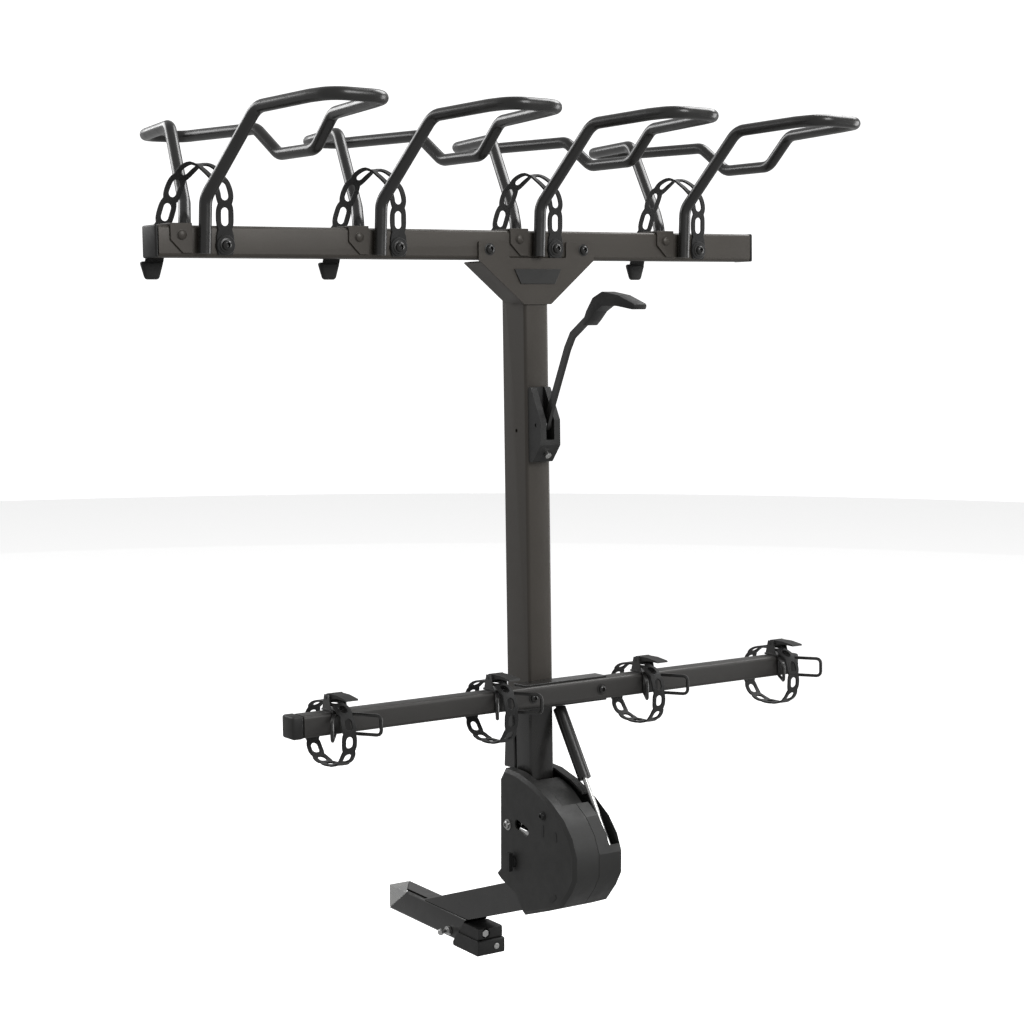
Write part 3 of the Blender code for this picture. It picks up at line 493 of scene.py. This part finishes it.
def build_hoop(number):
    """One bent rod, as in the CAD, with rounder section and bends."""
    front, back = BAR_LOW.y - ROD - CLEAR, BAR_HIGH.y + ROD + CLEAR
    route = [(LEG_X, front, -0.020), (-0.037, front, 0.068), (0.0086, -0.127, RAIL_UP),
             (0.030, -0.262, RAIL_UP + 0.005), (0.040, -0.317, RAIL_UP + 0.005),
             (0.133, -0.317, RAIL_UP + 0.003), (0.143, -0.262, RAIL_UP + 0.002),
             (0.165, -0.091, RAIL_UP), (0.161, -0.036, RAIL_UP - 0.053),
             (0.156, 0.083, RAIL_UP - 0.053), (0.147, 0.148, RAIL_UP - 0.005),
             (0.119, 0.319, RAIL_UP - 0.003), (0.110, 0.364, RAIL_UP - 0.003),
             (0.035, 0.364, RAIL_UP - 0.003), (0.026, 0.319, RAIL_UP - 0.003),
             (0.006, 0.190, RAIL_UP - 0.002), (-0.026, 0.072, 0.066), (LEG_X, back, 0.036),
             (LEG_X, back, -0.020)]
    bolt_x = strap_x(number)
    route = bent([(bolt_x + x, y, BAR_Z + z) for x, y, z in route], HOOP_BEND, 8)
    name = f"wheel_hoop_{number}"
    piece = add(name + "_rod", tube(bmesh.new(), route, ROD, 24), BLACK, "mast", MAST)
    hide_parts(name)
    smooth(piece, 50)
    finished(f"hoop_saddle_{number}", BROWN, 0.0007)


# ---------------------------------------------------------------- straps

def cell_outline(slot, steps=8, ends=3):
    """Pairs of (s, u) shares on a strap cell's rim and the matching points of its slot."""
    straight, radius = slot[0] - slot[1], slot[1]
    reach = straight + radius * cos(pi / 4)
    pairs = []
    for side in (1, -1):
        for k in range(steps):                      # along one edge of the strap
            s = side * (1 - 2 * k / steps)
            x = s * reach
            over = max(0.0, abs(x) - straight)
            pairs.append(((s, side), (x, side * (radius ** 2 - over ** 2) ** 0.5)))
        for k in range(ends):                       # across the strap, to the next cell
            u = side * (1 - 2 * k / ends)
            turn = u * pi / 4
            pairs.append(((-side, u), (-side * (straight + radius * cos(turn)),
                                       radius * sin(turn))))
    return pairs


def strap_cell(shape, at, middle, pitch, widths, slot, bare):
    """One length of a strap, scalloped between its slots, with an oblong slot or none."""
    waist, full = widths
    outer, inner = [], []
    for (s, u), (x, y) in cell_outline(slot):
        half = (waist + (full - waist) * (1 - abs(s) ** 3)) / 2
        outer.append(shape.verts.new(at(middle + s * pitch / 2, u * half)))
        inner.append(shape.verts.new(at(middle + x, y)))
    for k in range(len(outer)):
        after = (k + 1) % len(outer)
        shape.faces.new((outer[k], outer[after], inner[after], inner[k]))
    if bare:
        shape.faces.new(inner)


def strap(name, at, length, cell, widths, slot, closed=False):
    """A perforated strap on the mast: cells along a route, welded, thickened and rounded."""
    shape = bmesh.new()
    count = round(length / cell)
    for k in range(count):
        strap_cell(shape, at, (k + 0.5) * length / count, length / count, widths, slot,
                   not closed and k in (0, count - 1))
    bmesh.ops.remove_doubles(shape, verts=shape.verts, dist=0.0002)
    piece = add(name + "_perforated", shape, RUBBER, "mast", MAST)
    shell = piece.modifiers.new("thickness", "SOLIDIFY")
    shell.thickness = STRAP_THICK
    shell.offset = 0
    shell.use_even_offset = True
    bevel(piece, 0.0007, 2, 50)
    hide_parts(name)
    return smooth(piece, 40)


def along_route(points):
    """A function from arc length and sideways distance to a place on a smooth route."""
    fine, lengths = [], [0.0]
    ends = [2 * points[0] - points[1], *points, 2 * points[-1] - points[-2]]
    for i in range(1, len(ends) - 2):
        a, b, c, d = ends[i - 1:i + 3]
        for t in (s / 12 for s in range(12)):
            fine.append(0.5 * (2 * b + (c - a) * t + (2 * a - 5 * b + 4 * c - d) * t * t
                               + (3 * b - a - 3 * c + d) * t ** 3))
    fine.append(points[-1])
    for one, two in zip(fine, fine[1:]):
        lengths.append(lengths[-1] + (two - one).length)
    ahead = frame_along(fine)

    def at(s, u):
        k = min(range(len(fine) - 1), key=lambda i: abs((lengths[i] + lengths[i + 1]) / 2 - s))
        share = (s - lengths[k]) / max(1e-9, lengths[k + 1] - lengths[k])
        point = fine[k].lerp(fine[k + 1], share)
        along = ahead[k].lerp(ahead[k + 1], min(1, max(0, share))).normalized()
        across = (Vector((1, 0, 0)) - along.x * along).normalized()
        return point + across * u
    return at, lengths[-1]


def build_tire_strap(number):
    """The perforated strap that arches over the crossbar, with its bolt and pull tab."""
    x = strap_x(number)
    front = BAR_LOW.y - CLEAR - 0.0016
    back = BAR_HIGH.y + 2 * CLEAR + 0.0046
    route = [(0, front, -0.022), (0, front, 0.040), (-0.001, front - 0.002, 0.078),
             (-0.012, -0.0150, 0.108), (-0.032, 0.0080, 0.124), (-0.053, 0.0290, 0.104),
             (-0.068, back - 0.001, 0.070), (-0.082, back, 0.030), (-0.094, back, -0.012),
             (-0.104, back, -0.050)]
    at, length = along_route([Vector((x + a, b, BAR_Z + c)) for a, b, c in route])
    strap(f"tire_strap_{number}", at, length, TIRE_CELL, TIRE_WIDTHS, TIRE_SLOT)
    lug = lathe(bmesh.new(), [(0, 0), (0.0152, 0), (0.0165, 0.0012), (0.0165, 0.0034),
                              (0.0155, 0.0046), (0.0120, LUG_THICK), (0, LUG_THICK)],
                facing(Vector((x, BAR_LOW.y - CLEAR, BAR_Z - BOLT_DROP)), (0, -1, 0)), 36)
    smooth(add(f"strap_lug_{number}", lug, RUBBER, "mast", MAST), 40)
    bolt(f"strap_bolt_{number}", (x, BAR_LOW.y - LUG_THICK - 0.0002, BAR_Z - BOLT_DROP),
         (0, -1, 0), 0.0082, "mast", MAST, BLACK)
    rivet = lathe(bmesh.new(), [(0, 0), (0.0085, 0), (0.0085, 0.0008), (0.0076, 0.0009),
                                (0.0072, 0.0026), (0.0050, 0.0040), (0, 0.0046)],
                  facing(Vector((x + RIVET_X, BAR_LOW.y - CLEAR - 0.0031, BAR_Z + 0.010)),
                         (0, -1, 0)))
    smooth(add(f"saddle_rivet_{number}", rivet, BROWN, "mast", MAST), 40)
    build_pull_tab(number, Vector((x + PULL_X, back, BAR_Z - 0.045)))


def build_pull_tab(number, place):
    """The rounded knob on the tail of a tyre strap."""
    shape = bmesh.new()
    bmesh.ops.create_cube(shape, size=1)
    for vertex in shape.verts:
        narrow = 1.0 if vertex.co.z > 0 else 0.62
        vertex.co = Vector((vertex.co.x * 0.040 * narrow, vertex.co.y * 0.013 * narrow,
                            vertex.co.z * 0.029))
    bmesh.ops.bevel(shape, geom=shape.edges, offset=0.0045, segments=3, profile=0.5,
                    affect="EDGES")
    tab = add(f"strap_pull_{number}", shape, RUBBER, "mast", MAST @ Matrix.Translation(place))
    smooth(tab, 60)


def build_wheel_strap(number):
    """The perforated loop of a lower wheel strap, with its ratchet buckle."""
    low, high = span(f"wheel_strap_{number}")
    centre, thick = (low + high) / 2, 0.003
    deep, tall = (high.y - low.y - thick) / 2, (high.z - low.z - thick) / 2
    ring = []
    for k in range(LOOP_STEPS + 1):
        y, z = sin(2 * pi * k / LOOP_STEPS), cos(2 * pi * k / LOOP_STEPS)
        reach = (abs(y) ** SQUARENESS + abs(z) ** SQUARENESS) ** (-1 / SQUARENESS)
        ring.append(centre + Vector((0, deep * y * reach, tall * z * reach)))
    lengths = [0.0]
    for one, two in zip(ring, ring[1:]):
        lengths.append(lengths[-1] + (two - one).length)

    def at(s, u):
        s %= lengths[-1]
        k = max(i for i in range(LOOP_STEPS) if lengths[i] <= s)
        share = (s - lengths[k]) / (lengths[k + 1] - lengths[k])
        return ring[k].lerp(ring[k + 1], share) + Vector((u, 0, 0))

    strap(f"wheel_strap_{number}", at, lengths[-1], WHEEL_CELL, WHEEL_WIDTHS, WHEEL_SLOT,
          closed=True)
    finished(f"wheel_cradle_{number}", BLACK, 0.0005)
    finished(f"ratchet_lever_{number}", CAPS, 0.0010)


def build_fasteners():
    gusset_low, _ = span("gusset_plate")
    for i, x in enumerate((-0.100, 0.100)):
        bolt(f"gusset_bolt_{i + 1}", (x, gusset_low.y + 0.001, BAR_Z - 0.008), (0, -1, 0),
             0.0080, "mast", MAST, BLACK)
    for i, x in enumerate((-0.047, 0.102)):
        bolt(f"lower_bolt_{i + 1}", (x, LOWER_LOW.y, LOWER_Z), (0, -1, 0), 0.0072, "mast", MAST,
             BLACK)


# ---------------------------------------------------------------- studio

def build_camera():
    data = bpy.data.cameras.new("camera")
    data.lens = 74.8
    data.dof.use_dof = False
    camera = bpy.data.objects.new("camera", data)
    bpy.context.scene.collection.objects.link(camera)
    ahead = Vector((0.5516, 0.8273, -0.1070)).normalized()
    camera.location = (-2.1378, -3.4023, 1.2537)
    camera.rotation_euler = ahead.to_track_quat("-Z", "Y").to_euler()
    bpy.context.scene.camera = camera


def area_light(name, place, target, size, power):
    data = bpy.data.lights.new(name, "AREA")
    data.shape = "RECTANGLE"
    data.size, data.size_y = size
    data.energy = power
    lamp = bpy.data.objects.new(name, data)
    bpy.context.scene.collection.objects.link(lamp)
    lamp.location = place
    lamp.rotation_euler = (Vector(target) - Vector(place)).to_track_quat("-Z", "Y").to_euler()


def build_studio():
    """A pale round floor that curves up into a wall on every side, and soft lights."""
    low, steps = CAD_BOUNDS[0][2] - FLOOR_DROP, 10
    bend = [pi / 2 * k / steps for k in range(steps + 1)]
    outline = [(0, low)] + [(FLOOR_RADIUS - FLOOR_BEND + FLOOR_BEND * sin(turn),
                             low + FLOOR_BEND * (1 - cos(turn))) for turn in bend]
    outline.append((FLOOR_RADIUS, low + FLOOR_RADIUS))
    shape = lathe(bmesh.new(), outline, Matrix.Identity(4), 96)
    mesh = bpy.data.meshes.new("floor")
    shape.to_mesh(mesh)
    shape.free()
    floor = bpy.data.objects.new("floor", mesh)
    bpy.context.scene.collection.objects.link(floor)
    for face in mesh.polygons:
        face.use_smooth = True
    pale = Shader("studio_floor", 0.9, Emission_Strength=0.80)
    pale.set("Emission Color", (1, 1, 1, 1))
    pale.colour(pale.mix(pale.ramp(pale.noise(0.4), 0.3, 0.7, 0, 1),
                         (0.86, 0.86, 0.86), (0.88, 0.88, 0.88)))
    mesh.materials.append(pale.material)
    floor.visible_diffuse = False
    floor.visible_glossy = False
    world = bpy.data.worlds.new("studio")
    world.use_nodes = True
    background = world.node_tree.nodes["Background"]
    background.inputs["Color"].default_value = (1, 1, 1, 1)
    background.inputs["Strength"].default_value = 0.42
    bpy.context.scene.world = world
    middle = (0, -0.3, 0.8)
    area_light("key", (0.4, -3.6, 3.0), middle, (1.8, 1.8), 70)
    area_light("fill", (3.4, -1.2, 1.0), middle, (1.6, 2.4), 45)
    area_light("rim", (-1.6, 3.0, 2.6), middle, (2.6, 1.2), 40)
    area_light("top", (1.7, -0.1, 3.2), middle, (1.6, 1.6), 45)
    bpy.context.scene.view_settings.view_transform = "Standard"


build_camera()
build_studio()
build_hitch()
build_casing()
build_mast()
build_release()
for bike in range(1, BIKES + 1):
    build_hoop(bike)
    build_tire_strap(bike)
    build_wheel_strap(bike)
build_fasteners()
